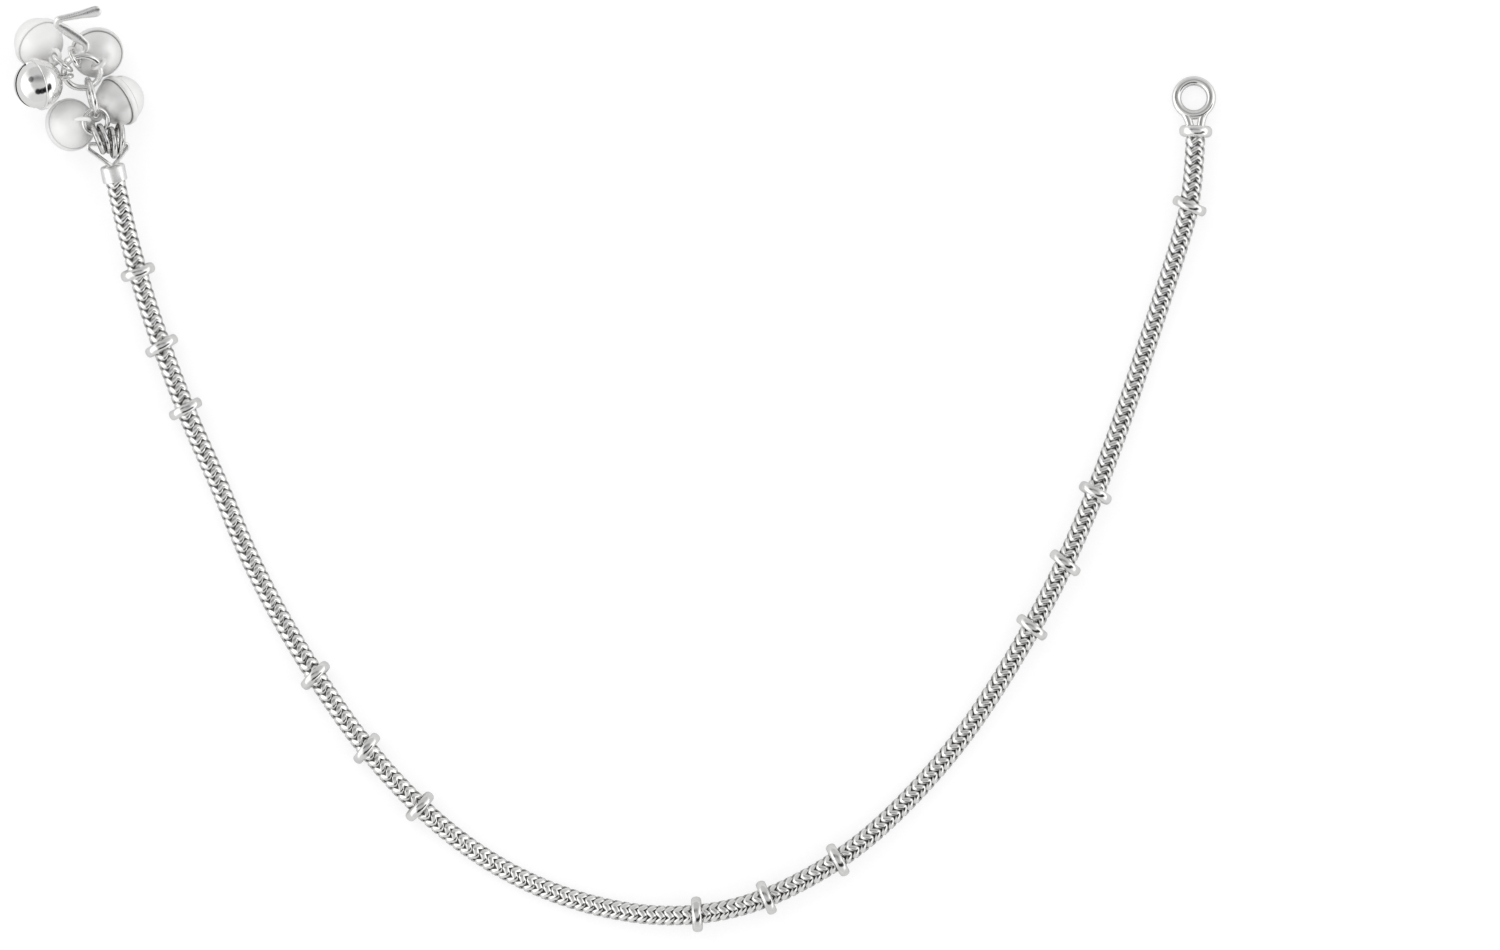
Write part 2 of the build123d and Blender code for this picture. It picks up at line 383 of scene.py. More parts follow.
def joined(parts):
    """One mesh from (mesh, matrix) pairs."""
    shape = bmesh.new()
    for mesh, matrix in parts:
        mesh = mesh.copy()
        mesh.transform(matrix)
        shape.from_mesh(mesh)
    whole = bpy.data.meshes.new("shape")
    shape.to_mesh(whole)
    shape.free()
    return whole


def turned(profile, steps=64):
    """A closed outline of (radius, height) points, turned round z."""
    count = len(profile)
    points = [
        (radius * cos(2 * pi * step / steps), radius * sin(2 * pi * step / steps), height)
        for step in range(steps)
        for radius, height in profile
    ]
    faces = []
    for step in range(steps):
        here, there = step * count, (step + 1) % steps * count
        for k in range(count):
            m = (k + 1) % count
            faces.append((here + k, there + k, there + m, here + m))
    return merged(mesh_of(points, faces))


def merged(mesh):
    """The mesh with its doubles merged, its empty faces gone and its faces outward."""
    shape = bmesh.new()
    shape.from_mesh(mesh)
    bmesh.ops.remove_doubles(shape, verts=shape.verts, dist=MERGED_WITHIN)
    bmesh.ops.dissolve_degenerate(shape, edges=shape.edges, dist=EMPTY_WITHIN)
    bmesh.ops.recalc_face_normals(shape, faces=shape.faces)
    shape.to_mesh(mesh)
    shape.free()
    return mesh


def drawn_wire(path, wide, thick, closed=False, around=16):
    """Wire along a flat path of (x, y) points: half its width in the plane and half its
    thickness across it at each point. Open ends close on their own end points."""
    path = np.asarray(path, float)
    count = len(path)
    wide, thick = np.broadcast_to(wide, count), np.broadcast_to(thick, count)
    if closed:
        along = np.roll(path, -1, 0) - np.roll(path, 1, 0)
    else:
        along = np.gradient(path, axis=0)
    along /= np.linalg.norm(along, axis=1)[:, None]
    side = np.column_stack((-along[:, 1], along[:, 0]))
    angles = 2 * pi * np.arange(around) / around
    points, faces = [], []
    for centre, out, half_wide, half_thick in zip(path, side, wide, thick):
        for angle in angles:
            flat = centre + out * half_wide * cos(angle)
            points.append((*flat, half_thick * sin(angle)))
    for k in range(count if closed else count - 1):
        here, there = k * around, (k + 1) % count * around
        for a in range(around):
            b = (a + 1) % around
            faces.append((here + a, here + b, there + b, there + a))
    if not closed:
        faces.append(tuple(range(around)))
        faces.append(tuple(range((count - 1) * around, count * around)))
    return merged(mesh_of(points, faces))


def dome(reach, steps=7, least=0.02):
    """Distances from a rounded end, and the share of the full size there."""
    angles = [pi / 2 * k / steps for k in range(steps + 1)]
    return [reach * (1 - cos(a)) for a in angles], [max(sin(a), least) for a in angles]


def grown(start, tree, values):
    """The plain mesh that a Geometry Nodes tree makes from a starting mesh."""
    maker = link_in("maker", start)
    modifier = maker.modifiers.new("shape", "NODES")
    modifier.node_group = tree
    for socket in tree.interface.items_tree:
        if socket.in_out == "INPUT" and socket.name in values:
            modifier[socket.identifier] = values[socket.name]
    made = maker.evaluated_get(bpy.context.evaluated_depsgraph_get())
    mesh = bpy.data.meshes.new_from_object(made)
    bpy.data.objects.remove(maker)
    return mesh


def with_vectors(mesh, name, vectors):
    """Stores one vector for each point of a mesh."""
    stored = mesh.attributes.new(name, "FLOAT_VECTOR", "POINT")
    stored.data.foreach_set("vector", np.asarray(vectors, np.float32).ravel())


def with_numbers(mesh, name, numbers):
    """Stores one number for each point of a mesh."""
    mesh.attributes.new(name, "FLOAT", "POINT").data.foreach_set("value", numbers)


# ---- Snake chain -----------------------------------------------------------------------------

# The line that the chain lies on, from its hook end to its eye end, in millimetres
CHAIN_ROUTE = [
    (-59.6, 35.8, 4.3),
    (-58.6, 31.0, 3.5),
    (-57.4, 26.2, 2.6),
    (-55.6, 19.8, 2.05),
    (-53.0, 12.4, 2.08),
    (-50.2, 5.2, 2.2),
    (-46.9, -2.0, 1.35),
    (-43.7, -10.0, 1.2),
    (-39.6, -18.0, 1.4),
    (-34.7, -26.0, 2.28),
    (-29.75, -33.1, 2.1),
    (-24.05, -39.6, 2.32),
    (-17.55, -45.3, 1.35),
    (-10.1, -49.75, 1.2),
    (-2.0, -52.65, 1.25),
    (6.4, -53.95, 2.0),
    (14.5, -53.15, 2.16),
    (21.8, -50.4, 2.12),
    (29.4, -45.8, 2.16),
    (36.0, -39.75, 1.25),
    (42.6, -32.1, 1.2),
    (48.35, -23.2, 2.04),
    (53.3, -14.3, 2.12),
    (57.7, -4.5, 2.3),
    (61.45, 5.6, 1.25),
    (65.2, 17.1, 1.22),
    (68.35, 26.9, 1.95),
    (69.98, 33.0, 2.14),
    (70.25, 39.65, 2.02),
]
CHAIN_RADIUS = 1.18
LINK_PITCH = 1.08

route = bpy.data.curves.new("chain_route", "CURVE")
route.dimensions = "3D"
route.resolution_u = 16
line = route.splines.new("NURBS")
line.points.add(len(CHAIN_ROUTE) - 1)
for point, spot in zip(line.points, CHAIN_ROUTE):
    point.co = (*(MM * c for c in spot), 1)
line.order_u = 3
line.use_endpoint_u = True
route_holder = link_in("chain_route", route)
bpy.context.view_layer.update()
chain_line = bpy.data.meshes.new_from_object(
    route_holder.evaluated_get(bpy.context.evaluated_depsgraph_get())
)
route_points = np.array([v.co for v in chain_line.vertices])
bpy.data.objects.remove(route_holder)
route_steps = np.linalg.norm(np.diff(route_points, axis=0), axis=1)
route_length = float(route_steps.sum())

# One link is a band bent in and out round the chain, so that the bands nest like chevrons. The
# tree makes the band, sets one at each pitch along the line, each turned a hair, and puts a
# core inside that is painted dark, as painted shade between the bands.
SECTION_CORNERS = 4
POINTS_PER_WAVE = 4
ROW_SHARPNESS = 3.0         # how tightly the painted shade and oxide gather at the tips of the chevrons
ROW_OXIDE = 0.6             # painted shade and oxide at the tips
CREST_OXIDE = 0.28          # how much more of it the tips that point forward have, as painted shade
GAP_OXIDE = 0.03            # painted shade and oxide all along the gap between two bands

INT = "NodeSocketInt"
snake_links, given, result = new_tree(
    "snake_links",
    "GeometryNodeTree",
    [
        ("Line", "NodeSocketGeometry", None),
        ("Links", INT, 200),
        ("End Gap", FLOAT, 0.0005),
        ("Waves", INT, 4),
        ("Outer Radius", FLOAT, 0.0012),
        ("Band Depth", FLOAT, 0.0003),
        ("Band Width", FLOAT, 0.001),
        ("Wave Height", FLOAT, 0.0003),
        ("Core Radius", FLOAT, 0.0009),
        ("Pinch", FLOAT, 0.2),
        ("Phase", FLOAT, 0.0),
        ("Looseness", FLOAT, 0.05),
        ("Seed", INT, 7),
        ("Silver", "NodeSocketMaterial", None),
    ],
    [("Chain", "NodeSocketGeometry")],
)
tree = snake_links
across = maths(tree, "MULTIPLY", given["Waves"], POINTS_PER_WAVE)
sheet = add(tree, "GeometryNodeMeshGrid", {
    "Size X": 1.0,
    "Size Y": 1.0,
    "Vertices X": maths(tree, "ADD", across, 1.0),
    "Vertices Y": SECTION_CORNERS + 1,
})
cell = add(tree, "ShaderNodeSeparateXYZ", {0: add(tree, "GeometryNodeInputPosition").outputs[0]})
round_turn = maths(tree, "MULTIPLY", maths(tree, "ADD", cell.outputs[0], 0.5), 2 * pi)
corner = maths(tree, "ROUND", maths(tree, "MULTIPLY", maths(tree, "ADD", cell.outputs[1], 0.5),
                                    float(SECTION_CORNERS)))
section_turn = maths(tree, "MULTIPLY", maths(tree, "MODULO", corner, float(SECTION_CORNERS)),
                     pi / (SECTION_CORNERS - 1))
depth = maths(tree, "MULTIPLY", maths(tree, "SINE", section_turn), given["Band Depth"])
inner = maths(tree, "SUBTRACT", given["Outer Radius"], maths(
    tree, "MULTIPLY", given["Band Depth"], sin(pi / (SECTION_CORNERS - 1))))
radius = maths(tree, "ADD", inner, depth)
crest = maths(tree, "COSINE", maths(tree, "MULTIPLY", round_turn, given["Waves"]))
narrowed = maths(tree, "MULTIPLY", maths(tree, "ABSOLUTE", crest), given["Pinch"])
half_band = maths(tree, "MULTIPLY", given["Band Width"], maths(
    tree, "MULTIPLY_ADD", narrowed, -0.5, 0.5))
edge = maths(tree, "MULTIPLY", maths(tree, "COSINE", section_turn), half_band)
wave = maths(tree, "MULTIPLY", crest, given["Wave Height"])
round_turn = maths(tree, "ADD", round_turn, given["Phase"])
spot = add(tree, "ShaderNodeCombineXYZ", {
    0: maths(tree, "MULTIPLY", radius, maths(tree, "COSINE", round_turn)),
    1: maths(tree, "MULTIPLY", radius, maths(tree, "SINE", round_turn)),
    2: maths(tree, "ADD", edge, wave),
})
# how deep in the gap between two bands a point lies, which sets its painted shade and oxide: 1 at
# the band's edges, 0 on its crown
recess = maths(tree, "SUBTRACT", 1.0, maths(tree, "DIVIDE", maths(
    tree, "SINE", section_turn), sin(pi / (SECTION_CORNERS - 1))))
tips = maths(tree, "POWER", maths(tree, "ABSOLUTE", crest), ROW_SHARPNESS)
oxide = maths(tree, "MULTIPLY_ADD", crest, CREST_OXIDE, ROW_OXIDE)
oxide = maths(tree, "ADD", maths(tree, "MULTIPLY", tips, oxide), GAP_OXIDE)
recess = maths(tree, "MULTIPLY", recess, oxide)
marked = add(tree, "GeometryNodeStoreNamedAttribute", {
    "Geometry": sheet.outputs["Mesh"], "Name": "recess", "Value": recess,
}, data_type="FLOAT", domain="POINT")
band = add(tree, "GeometryNodeSetPosition", {
    "Geometry": marked.outputs[0], "Position": spot.outputs[0],
})
band = add(tree, "GeometryNodeMergeByDistance", {
    "Geometry": band.outputs[0], "Distance": EMPTY_WITHIN,
})
line_curve = add(tree, "GeometryNodeMeshToCurve", {"Mesh": given["Line"]}).outputs[0]
line_curve = add(tree, "GeometryNodeSetCurveNormal", {"Curve": line_curve}).outputs[0]
length = add(tree, "GeometryNodeCurveLength", {"Curve": line_curve}).outputs[0]
trimmed = add(tree, "GeometryNodeTrimCurve", {
    "Curve": line_curve,
    4: given["End Gap"],
    5: maths(tree, "SUBTRACT", length, given["End Gap"]),
}, mode="LENGTH")
spots = add(tree, "GeometryNodeCurveToPoints", {
    "Curve": trimmed.outputs[0], "Count": given["Links"],
}, mode="COUNT")
loose = maths(tree, "MULTIPLY", given["Looseness"], -1.0)
slack = add(tree, "ShaderNodeCombineXYZ", {0: loose, 1: loose, 2: loose})
tight = add(tree, "ShaderNodeCombineXYZ", {k: given["Looseness"] for k in range(3)})
turn = add(tree, "FunctionNodeRandomValue", {
    0: slack.outputs[0], 1: tight.outputs[0], "Seed": given["Seed"],
}, data_type="FLOAT_VECTOR")
turn = add(tree, "FunctionNodeEulerToRotation", {0: turn.outputs[0]})
turned_a_hair = add(tree, "FunctionNodeRotateRotation", {
    0: spots.outputs["Rotation"], 1: turn.outputs[0],
}, rotation_space="LOCAL")
links = add(tree, "GeometryNodeInstanceOnPoints", {
    "Points": spots.outputs["Points"],
    "Instance": band.outputs[0],
    "Rotation": turned_a_hair.outputs[0],
})
core_ring = add(tree, "GeometryNodeCurvePrimitiveCircle", {
    "Resolution": 16, "Radius": given["Core Radius"],
}, mode="RADIUS")
core = add(tree, "GeometryNodeCurveToMesh", {
    "Curve": trimmed.outputs[0], "Profile Curve": core_ring.outputs[0], "Fill Caps": True,
})
# painted shade: the core inside the chain is marked fully dark
core = add(tree, "GeometryNodeStoreNamedAttribute", {
    "Geometry": core.outputs[0], "Name": "recess", "Value": 1.0,
}, data_type="FLOAT", domain="POINT")
whole = add(tree, "GeometryNodeJoinGeometry")
tree.links.new(links.outputs[0], whole.inputs[0])
tree.links.new(core.outputs[0], whole.inputs[0])
real = add(tree, "GeometryNodeRealizeInstances", {0: whole.outputs[0]})
coated = add(tree, "GeometryNodeSetMaterial", {
    "Geometry": real.outputs[0], "Material": given["Silver"],
})
tree.links.new(coated.outputs[0], result["Chain"])

link_count = round(route_length / (LINK_PITCH * MM))
pitch = route_length / link_count
chain_mesh = grown(chain_line, snake_links, {
    "Links": link_count,
    "End Gap": pitch / 2,
    "Waves": 4,
    "Outer Radius": CHAIN_RADIUS * MM,
    "Band Depth": 0.2 * MM,
    "Band Width": 0.97 * pitch,
    "Wave Height": 0.3 * MM,
    "Pinch": 0.28,
    "Phase": radians(18),
    "Core Radius": 0.9 * MM,
    "Looseness": 0.03,
    "Silver": chain_silver,
})
finish_piece("snake_chain_links", chain_mesh, "chain_silver", ["snake_chain"], sharp_from=65)

# ---- Rondelle rings --------------------------------------------------------------------------

RING_SECTION_CENTRE = 1.76
RING_HALF_DEPTH = 0.39
RING_HALF_WIDTH = 0.6
RING_TURNS = [4, 10, 6, 12, 13, 1, -2, 2, -4, -8, -13, -8, -13]    # askew, in degrees

rondelles, given, result = new_tree(
    "rondelles",
    "GeometryNodeTree",
    [
        ("Places", "NodeSocketGeometry", None),
        ("Section Centre", FLOAT, 0.0017),
        ("Half Depth", FLOAT, 0.0003),
        ("Half Width", FLOAT, 0.0005),
        ("Steps Round", INT, 72),
        ("Steps Across", INT, 20),
        ("Silver", "NodeSocketMaterial", None),
    ],
    [("Rings", "NodeSocketGeometry")],
)
tree = rondelles
hoop = add(tree, "GeometryNodeCurvePrimitiveCircle", {
    "Resolution": given["Steps Round"], "Radius": given["Section Centre"],
}, mode="RADIUS")
bead = add(tree, "GeometryNodeCurvePrimitiveCircle", {
    "Resolution": given["Steps Across"], "Radius": 1.0,
}, mode="RADIUS")
oval = add(tree, "ShaderNodeCombineXYZ", {0: given["Half Depth"], 1: given["Half Width"], 2: 1.0})
bead = add(tree, "GeometryNodeTransform", {
    "Geometry": bead.outputs[0], "Scale": oval.outputs[0],
})
ring = add(tree, "GeometryNodeCurveToMesh", {
    "Curve": hoop.outputs[0], "Profile Curve": bead.outputs[0],
})
axis = add(tree, "GeometryNodeInputNamedAttribute", {"Name": "axis"}, data_type="FLOAT_VECTOR")
facing = add(tree, "FunctionNodeAlignRotationToVector", {
    "Vector": axis.outputs[0],
}, axis="Z")
rings = add(tree, "GeometryNodeInstanceOnPoints", {
    "Points": given["Places"], "Instance": ring.outputs[0], "Rotation": facing.outputs[0],
})
real = add(tree, "GeometryNodeRealizeInstances", {0: rings.outputs[0]})
coated = add(tree, "GeometryNodeSetMaterial", {
    "Geometry": real.outputs[0], "Material": given["Silver"],
})
tree.links.new(coated.outputs[0], result["Rings"])


def middle(node):
    """The middle of a CAD node, in metres."""
    low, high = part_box(node)
    return (low + high) / 2


def chain_direction(spot, reach=2):
    """The way that the chain runs where it passes nearest to a spot, away from its ends."""
    nearest = int(np.argmin(np.linalg.norm(route_points - np.array(spot), axis=1)))
    return Vector(route_points[nearest + reach] - route_points[nearest - reach]).normalized()


ring_names = [f"ring_{number:02d}" for number in range(1, len(RING_TURNS) + 1)]
ring_middles = [middle(name) for name in ring_names]
ring_axes = [
    Matrix.Rotation(radians(turn), 3, "Z") @ chain_direction(spot)
    for spot, turn in zip(ring_middles, RING_TURNS)
]
places = mesh_of([spot / MM for spot in ring_middles], [])
with_vectors(places, "axis", ring_axes)
ring_mesh = grown(places, rondelles, {
    "Section Centre": RING_SECTION_CENTRE * MM,
    "Half Depth": RING_HALF_DEPTH * MM,
    "Half Width": RING_HALF_WIDTH * MM,
    "Silver": ring_silver,
})
finish_piece("rondelle_rings", ring_mesh, "ring_silver", ring_names)

# ---- Eye end ---------------------------------------------------------------------------------

DISC_RADIUS = 1.98
DISC_THICKNESS = 1.4
DISC_EDGE = 0.6
DISC_GAP = 0.05             # between the chain's end and the disc
EYE_RADIUS = 2.08
EYE_WIRE_RADIUS = 0.57
EYE_REACH = 4.1             # from the middle of the disc to the middle of the eye
EYE_HEADING = 93            # the way that the eye points, in degrees round Z
EYE_DROOP = 11              # and how far that is below level
LEG_RADIUS = 0.48
# Each leg of the neck, as distances out from the neck's line and on from the disc's middle:
# where it leaves the eye, the corner that it bends round, and where it meets the disc
LEG_LINE = [(1.62, EYE_REACH - 1.32), (0.72, EYE_REACH - 2.3), (0.62, 0.3)]


def rounded_disc(radius, thickness, edge, steps=6):
    """The outline of a disc with a round edge, centred on its own middle."""
    half = thickness / 2
    outline = [(0.0, -half)]
    for corner, start in ((-half + edge, -90), (half - edge, 0)):
        for k in range(steps + 1):
            angle = radians(start + 90 * k / steps)
            outline.append((radius - edge + edge * cos(angle), corner + edge * sin(angle)))
    return outline + [(0.0, half)]


def round_path(radius, steps, centre=(0.0, 0.0)):
    """Points round a circle."""
    angles = [radians(360.0 * k / steps) for k in range(steps)]
    return [(centre[0] + radius * cos(a), centre[1] + radius * sin(a)) for a in angles]


def bent(start, corner, end, steps=14):
    """Points along a smooth bend that leaves one point and reaches another past a corner."""
    start, corner, end = (np.array(p, float) for p in (start, corner, end))
    shares = np.linspace(0, 1, steps)[:, None]
    return (1 - shares) ** 2 * start + 2 * shares * (1 - shares) * corner + shares**2 * end


chain_end = Vector(route_points[-1]) / MM
end_heading = Vector(route_points[-1] - route_points[-2]).normalized()
disc_middle = chain_end + end_heading * (DISC_GAP + DISC_THICKNESS / 2)
eye_direction = direction(EYE_HEADING, -EYE_DROOP)
eye_sideways = Vector((0, 0, 1)).cross(eye_direction).normalized()
# the eye lies in the plane of its two legs: x to its side, y along the neck
eye_plane = placed(disc_middle, eye_sideways, eye_sideways.cross(eye_direction))
eye_parts = [
    (turned(rounded_disc(DISC_RADIUS, DISC_THICKNESS, DISC_EDGE)),
     placed(disc_middle, (1, 0, 0), end_heading)),
    (drawn_wire(round_path(EYE_RADIUS, 96, centre=(0, EYE_REACH)), EYE_WIRE_RADIUS,
                EYE_WIRE_RADIUS, closed=True, around=28), eye_plane),
]
for side in (-1, 1):
    leg = bent(*((side * out, along) for out, along in LEG_LINE))
    eye_parts.append((drawn_wire(leg, LEG_RADIUS, LEG_RADIUS), eye_plane))
finish_piece("end_eye_piece", joined(eye_parts), "fitting_silver", ["end_eye"])

# ---- Hook end: cup and stirrup ---------------------------------------------------------------

CUP_RADIUS = 1.5
CUP_WALL = 0.24
CUP_DEPTH = 1.5
CUP_FLOOR = 0.5
CUP_EDGE = 0.16
STIRRUP_WIRE_RADIUS = 0.26
STIRRUP_BEND = 0.38
STIRRUP_CORNERS = [(-59.64, 36.1, 4.38), (-63.3, 38.8, 6.2), (-57.45, 38.9, 4.1)]
STRAIGHT_SHARES = np.linspace(0.35, 0.65, 4)    # where the points on a straight side are

chain_start = Vector(route_points[0]) / MM
out_of_chain = Vector(route_points[0] - route_points[1]).normalized()
bore = CUP_RADIUS - CUP_WALL
top = DISC_GAP + CUP_FLOOR
cup_outline = [
    (0.0, DISC_GAP),
    (bore, DISC_GAP),
    (bore, DISC_GAP - CUP_DEPTH + CUP_EDGE / 2),
    (bore + CUP_EDGE / 2, DISC_GAP - CUP_DEPTH),
    (CUP_RADIUS - CUP_EDGE / 2, DISC_GAP - CUP_DEPTH),
    (CUP_RADIUS, DISC_GAP - CUP_DEPTH + CUP_EDGE / 2),
    (CUP_RADIUS, top - 2 * CUP_EDGE),
    (CUP_RADIUS - 0.3 * CUP_EDGE, top - CUP_EDGE),
    (CUP_RADIUS - CUP_EDGE, top - 0.3 * CUP_EDGE),
    (CUP_RADIUS - 2 * CUP_EDGE, top),
    (0.0, top),
]

corners = [Vector(c) for c in STIRRUP_CORNERS]
stirrup_up = (corners[1] - corners[0]).cross(corners[2] - corners[0]).normalized()
stirrup_plane = placed(corners[0], corners[2] - corners[1], stirrup_up)
to_plane = stirrup_plane.inverted()
flat_corners = [np.array((to_plane @ (c * MM))[:2]) / MM for c in corners]


def rounded_loop(corners, bend, steps=9):
    """A closed flat path through corners that are each rounded to a radius, with a few points
    on the straight run after each."""
    path = []
    for k, corner in enumerate(corners):
        following = corners[(k + 1) % len(corners)]
        before, after = corners[k - 1] - corner, following - corner
        before, after = before / np.linalg.norm(before), after / np.linalg.norm(after)
        half = np.arccos(np.clip(before @ after, -1, 1)) / 2
        inward = (before + after) / np.linalg.norm(before + after)
        centre = corner + inward * bend / sin(half)
        start = corner + before * bend / np.tan(half) - centre
        end = corner + after * bend / np.tan(half) - centre
        for share in np.linspace(0, 1, steps):
            ray = start * (1 - share) + end * share
            path.append(centre + ray / np.linalg.norm(ray) * bend)
        path += [corner * (1 - share) + following * share for share in STRAIGHT_SHARES]
    return path


hook_end_parts = [
    (turned(cup_outline, 48), placed(chain_start, (1, 0, 0), out_of_chain)),
    (drawn_wire(rounded_loop(flat_corners, STIRRUP_BEND), STIRRUP_WIRE_RADIUS,
                STIRRUP_WIRE_RADIUS, closed=True), stirrup_plane),
]
finish_piece("hook_end_cap_piece", joined(hook_end_parts), "fitting_silver", ["hook_end_cap"],
             finish=satin_silver)

# ---- Jump rings and link rings ---------------------------------------------------------------

# (name, heading and rise of the ring's axis, centre line radius, wire radius, where its two
# ends meet, in degrees round it)
WIRE_RINGS = [
    ("jump_ring_1", 23, -1, 1.62, 0.35, 200),
    ("jump_ring_2", 21, -7, 1.62, 0.35, 140),
    ("jump_ring_3", 6, -9, 1.62, 0.35, 65),
    ("jump_ring_4", -1, -13, 1.62, 0.35, 250),
    ("cross_ring", -16, 73, 1.50, 0.29, 100),
    ("link_ring", 14, -7, 2.15, 0.33, 30),
    ("carrier_ring", -85, 60, 2.20, 0.38, 290),
    ("hook_link", 27, 14, 1.23, 0.26, 170),
    ("bell_link", 52, 2, 1.30, 0.29, 220),
]

# Painted shade darkens the flanks, where a ring faces its neighbours: from which share of the
# wire's radius, over which share it fades in, and the most of it
FLANK_FROM, FLANK_FADE, FLANK_TARNISH = 0.55, 0.35, 0.95

open_rings, given, result = new_tree(
    "open_rings",
    "GeometryNodeTree",
    [
        ("Place", "NodeSocketGeometry", None),
        ("Ring Radius", FLOAT, 0.0016),
        ("Wire Radius", FLOAT, 0.0003),
        ("Joint At", FLOAT, 0.0),
        ("Joint Gap", FLOAT, 0.00003),
        ("Steps Round", INT, 64),
        ("Steps Across", INT, 16),
        ("Silver", "NodeSocketMaterial", None),
    ],
    [("Ring", "NodeSocketGeometry")],
)
tree = open_rings
gap_angle = maths(tree, "DIVIDE", given["Joint Gap"], given["Ring Radius"])
hoop = add(tree, "GeometryNodeCurveArc", {
    "Resolution": given["Steps Round"],
    "Radius": given["Ring Radius"],
    "Start Angle": given["Joint At"],
    "Sweep Angle": maths(tree, "SUBTRACT", 2 * pi, gap_angle),
}, mode="RADIUS")
bead = add(tree, "GeometryNodeCurvePrimitiveCircle", {
    "Resolution": given["Steps Across"], "Radius": given["Wire Radius"],
}, mode="RADIUS")
wire = add(tree, "GeometryNodeCurveToMesh", {
    "Curve": hoop.outputs[0], "Profile Curve": bead.outputs[0], "Fill Caps": True,
})
ring = add(tree, "GeometryNodeInstanceOnPoints", {
    "Points": given["Place"], "Instance": wire.outputs[0],
})
real = add(tree, "GeometryNodeRealizeInstances", {0: ring.outputs[0]})
coated = add(tree, "GeometryNodeSetMaterial", {
    "Geometry": real.outputs[0], "Material": given["Silver"],
})
tree.links.new(coated.outputs[0], result["Ring"])

for name, heading, rise, ring_radius, wire_radius, joint in WIRE_RINGS:
    ring_mesh = grown(mesh_of([(0, 0, 0)], []), open_rings, {
        "Ring Radius": ring_radius * MM,
        "Wire Radius": wire_radius * MM,
        "Joint At": radians(joint),
        "Silver": fitting_silver,
    })
    flanks = [abs(v.co.z) / (wire_radius * MM) for v in ring_mesh.vertices]
    # painted shade on the flanks; only the jump rings' finish reads it
    with_numbers(ring_mesh, "recess", [
        min(max((flank - FLANK_FROM) / FLANK_FADE, 0), FLANK_TARNISH) for flank in flanks
    ])
    facing = direction(heading, rise)
    ring_mesh.transform(placed(middle(name) / MM, Vector((0, 0, 1)).cross(facing), facing))
    finish = tarnished_silver if name.startswith("jump_ring") else None
    finish_piece(f"{name}_wire", ring_mesh, "fitting_silver", [name], sharp_from=50, finish=finish)

# ---- S-hook ----------------------------------------------------------------------------------

HOOK_TIP = (-62.01, 54.6, 9.21)
HOOK_TILT = 30.3            # degrees that the hook's plane rises towards its tip
HOOK_TIP_HEADING = 193.5    # the way that the upper arm runs from the tip, in that plane
HOOK_UPPER_ARM = 3.85
HOOK_UPPER_BEND = (0.55, 128.9)     # radius, turn in degrees
HOOK_LEG = 3.64
HOOK_LOWER_BEND = (0.93, -112.4)
HOOK_LOWER_ARM = 2.5
PADDLE_REACH = 1.15         # how far the flattened tip goes on past the hook's tip point
PADDLE_ROUNDING = 0.7       # the length over which the flattened tip rounds off
HOOK_END_ROUNDING = 0.38
SIZE_STEPS = 400            # how finely the sizes along the hook are worked out
SMOOTHED_STEPS = 41         # how many of those are blended at each point

hook_plane = placed(HOOK_TIP, (1, 0, 0), (0, -sin(radians(HOOK_TILT)), cos(radians(HOOK_TILT))))

# Half the width in the hook's plane and half the thickness across it, at distances from the tip
HOOK_SIZES = [
    (0.0, 0.74, 0.27),
    (0.9, 0.76, 0.27),
    (1.9, 0.6, 0.33),
    (2.8, 0.5, 0.35),
    (4.6, 0.4, 0.38),
    (5.4, 0.44, 0.37),
    (7.2, 0.66, 0.32),
    (9.0, 0.66, 0.32),
    (10.2, 0.46, 0.37),
    (11.6, 0.40, 0.40),
    (14.5, 0.40, 0.40),
]


def hook_line(spacing=0.12):
    """Points along the hook, from the end of its flattened tip to the end of its lower arm."""
    heading = radians(HOOK_TIP_HEADING)
    spot = np.array([-PADDLE_REACH * cos(heading), -PADDLE_REACH * sin(heading)])
    path = [spot]
    for length, bend in (
        (PADDLE_REACH + HOOK_UPPER_ARM, HOOK_UPPER_BEND),
        (HOOK_LEG, HOOK_LOWER_BEND),
        (HOOK_LOWER_ARM, None),
    ):
        along = np.array([cos(heading), sin(heading)])
        steps = max(2, round(length / spacing))
        path += [spot + along * length * k / steps for k in range(1, steps + 1)]
        spot = path[-1]
        if bend:
            bend_radius, turn = bend
            side = 1 if turn > 0 else -1
            centre = spot + side * bend_radius * np.array([-along[1], along[0]])
            # a bend gets half as many points again as a straight run
            steps = max(8, round(radians(abs(turn)) * bend_radius / spacing * 1.5))
            for k in range(1, steps + 1):
                angle = heading + radians(turn) * k / steps
                out = np.array([sin(angle), -cos(angle)]) * side
                path.append(centre + bend_radius * out)
            heading += radians(turn)
            spot = path[-1]
    return np.array(path)


def round_ended(path, wide, thick, start_reach, end_reach):
    """Rounds both ends of an open path: more points near them, and sizes that shrink there."""
    steps = np.linalg.norm(np.diff(path, axis=0), axis=1)
    along = np.concatenate(([0], np.cumsum(steps)))
    total = along[-1]
    spots, shares = dome(start_reach)
    end_spots, end_shares = dome(end_reach)
    inside = [s for s in along if start_reach < s < total - end_reach]
    where = np.array(spots + inside + [total - s for s in reversed(end_spots)])
    share = np.array(shares + [1.0] * len(inside) + list(reversed(end_shares)))
    smooth = np.column_stack([np.interp(where, along, path[:, k]) for k in range(2)])
    return smooth, np.interp(where, along, wide) * share, np.interp(where, along, thick) * share


